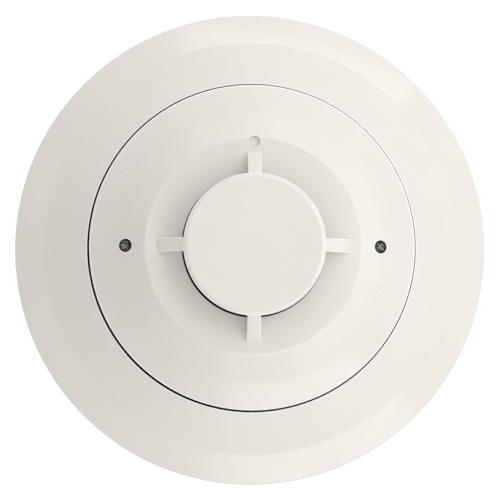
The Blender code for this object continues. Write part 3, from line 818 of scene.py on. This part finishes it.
# node, material, body, slot, edge rounding in millimetres
PLAIN_PARTS = [
    ("mounting_base", "base plastic", "base", "base_white", 0.15),
    ("tamper_lever", "base plastic", "lever", "base_white", 0.2),
    ("rear_housing", "base plastic", "head", "base_white", 0.12),
    ("sensor_support", "black plastic", "head", "black_plastic", 0.12),
    ("thermistor_1", "black epoxy", "head", "sensor_epoxy", 0.0),
    ("thermistor_2", "black epoxy", "head", "sensor_epoxy", 0.0),
    ("circuit_board", "board laminate", "head", "board_green", 0.08),
    ("tens_switch", "black plastic", "head", "black_plastic", 0.15),
    ("ones_switch", "black plastic", "head", "black_plastic", 0.15),
    ("tens_dial", "dial plastic", "tens", "dial_white", 0.1),
    ("ones_dial", "dial plastic", "ones", "dial_white", 0.1),
    ("microcontroller", "black plastic", "head", "black_plastic", 0.12),
    ("bridge_rectifier", "black plastic", "head", "black_plastic", 0.15),
    ("storage_capacitor", "capacitor sleeve", "head", "capacitor_sleeve", 0.1),
    ("choke", "ferrite", "head", "ferrite", 0.1),
    ("surge_arrester", "blue dip", "head", "arrester_blue", 0.0),
    ("reed_switch", "reed glass", "head", "reed_glass", 0.0),
    ("rating_label", "label film", "head", "label_paper", 0.03),
]
PLAIN_PARTS += [(f"board_screw_{n}", "zinc steel", "head", "plated_steel", 0.08) for n in range(1, 4)]
for _n in range(1, 5):
    PLAIN_PARTS += [
        (f"contact_spring_{_n}", "contact brass", "base", "contact_brass", 0.1),
        (f"contact_blade_{_n}", "contact brass", "head", "contact_brass", 0.1),
        (f"clamp_plate_{_n}", "zinc steel", f"clamp_{_n}", "plated_steel", 0.12),
        (f"terminal_screw_{_n}", "zinc steel", f"screw_{_n}", "plated_steel", 0.08),
    ]


class DETECTOR_OT_parts(bpy.types.Operator):
    """Finishes the parts whose shape the frame already gives: clean faces and lightly rounded edges"""

    bl_idname = "detector.parts"
    bl_label = "Base, housing and inner parts"

    def execute(self, context):
        for node, material, body, slot, edge in PLAIN_PARTS:
            part = cad_copy(node, edge * MM)
            add_piece(f"{node}_part", part, material, body, [node])
        return {"FINISHED"}


COOL = (0.985, 1.0, 1.03)
AIM = (-0.0002, -0.0002, 0.0)  # the point the camera looks at
FLOOR_Z = -0.6  # mm, just under the object
FLOOR_HALF = 4.0  # m
FLOOR_GLOW = 0.6  # keeps the floor white to the eye, and lights nothing
LIGHT_DISTANCE = 1.2
# setting, azimuth and height in degrees, width and depth in metres
LIGHTS = [
    ("key", (9, 50), (1.2, 0.8)),
    ("window", (76, 23), (1.4, 0.32)),
    ("upper", (85, 50), (0.9, 0.8)),
    ("low", (289, 25), (1.2, 0.8)),
]


class DETECTOR_OT_stage(bpy.types.Operator):
    """Makes the floor, the lights and the camera"""

    bl_idname = "detector.stage"
    bl_label = "Stage"

    def execute(self, context):
        light = settings()[2]
        scene = bpy.context.scene
        scene.view_settings.view_transform = "Standard"

        floor = bmesh.new()
        bmesh.ops.create_grid(floor, x_segments=8, y_segments=8, size=FLOOR_HALF)
        ground = linked("floor", moved(floor, (0, 0, FLOOR_Z)))
        tree, shader = new_material("floor paper", Roughness=0.9)
        cloud = spread(tree, noise(tree, object_place(tree), 40.0, 4.0), 0.3, 0.7)
        pale = mix(tree, cloud, (0.90, 0.90, 0.90, 1), (0.88, 0.88, 0.88, 1))
        tree.links.new(pale, shader.inputs["Base Color"])
        shader.inputs["Emission Color"].default_value = (1, 1, 1, 1)
        seen = tree.nodes.new("ShaderNodeLightPath").outputs["Is Camera Ray"]
        tree.links.new(maths(tree, "MULTIPLY", seen, FLOOR_GLOW), shader.inputs["Emission Strength"])
        ground.data.materials.append(bpy.data.materials["floor paper"])

        world = bpy.data.worlds.new("studio")
        world.use_nodes = True
        world.node_tree.nodes["Background"].inputs["Color"].default_value = (1.0, 0.985, 0.975, 1)
        world.node_tree.nodes["Background"].inputs["Strength"].default_value = light.fill
        scene.world = world

        for name, direction, size in LIGHTS:
            self.area(name, getattr(light, name), direction, size)

        camera = bpy.data.cameras.new("camera")
        camera.lens = light.lens
        camera.sensor_width = 36
        camera.clip_start = 0.01
        stand = bpy.data.objects.new("camera", camera)
        scene.collection.objects.link(stand)
        eye = Vector(light.eye)
        stand.location = eye
        stand.rotation_euler = self.facing(Vector(AIM) - eye, light.roll)
        scene.camera = stand
        return {"FINISHED"}

    def facing(self, way, roll):
        """Looks along a direction, with +Y turned from upright by the roll."""
        back = -way.normalized()
        right = Vector((-math.sin(roll), math.cos(roll), 0)).cross(back).normalized()
        up = back.cross(right)
        return Matrix((right, up, back)).transposed().to_euler()

    def area(self, name, power, direction, size):
        """A soft light that shines at the origin."""
        azimuth, height = (math.radians(a) for a in direction)
        lamp = bpy.data.lights.new(name, "AREA")
        lamp.shape = "RECTANGLE"
        lamp.size, lamp.size_y = size
        lamp.energy = power
        lamp.color = COOL
        obj = bpy.data.objects.new(name, lamp)
        bpy.context.scene.collection.objects.link(obj)
        out = Vector(
            (math.cos(azimuth) * math.cos(height), math.sin(azimuth) * math.cos(height), math.sin(height))
        )
        obj.location = out * LIGHT_DISTANCE
        obj.rotation_euler = out.to_track_quat("Z", "Y").to_euler()


OPERATORS = (
    DETECTOR_OT_materials, DETECTOR_OT_ring, DETECTOR_OT_cover, DETECTOR_OT_lamps, DETECTOR_OT_parts,
    DETECTOR_OT_stage,
)  # fmt: skip


class DETECTOR_PT_panel(bpy.types.Panel):
    """Lists the detector's settings, and one button for each of its pieces"""

    bl_idname = "DETECTOR_PT_panel"
    bl_label = "Heat detector"
    bl_space_type = "VIEW_3D"
    bl_region_type = "UI"
    bl_category = "Heat detector"

    def draw(self, context):
        for group in settings():
            box = self.layout.box()
            for name in group.__annotations__:
                box.prop(group, name)
        for operator in OPERATORS:
            self.layout.operator(operator.bl_idname)


GROUPS = {
    "detector_sizes": DetectorSizes,
    "detector_finish": DetectorFinish,
    "detector_stage": DetectorStage,
}


def register():
    """Adds the settings, the operators and the panel."""
    for cls in (*GROUPS.values(), *OPERATORS, DETECTOR_PT_panel):
        bpy.utils.register_class(cls)
    for name, cls in GROUPS.items():
        setattr(bpy.types.Scene, name, bpy.props.PointerProperty(type=cls))


def unregister():
    """Takes them away again."""
    for name in GROUPS:
        delattr(bpy.types.Scene, name)
    for cls in (DETECTOR_PT_panel, *reversed(OPERATORS), *GROUPS.values()):
        bpy.utils.unregister_class(cls)


def main():
    """Makes everything in order."""
    register()
    bpy.ops.detector.materials()
    bpy.ops.detector.ring()
    bpy.ops.detector.cover()
    bpy.ops.detector.lamps()
    bpy.ops.detector.parts()
    bpy.ops.detector.stage()


if __name__ == "__main__":
    main()
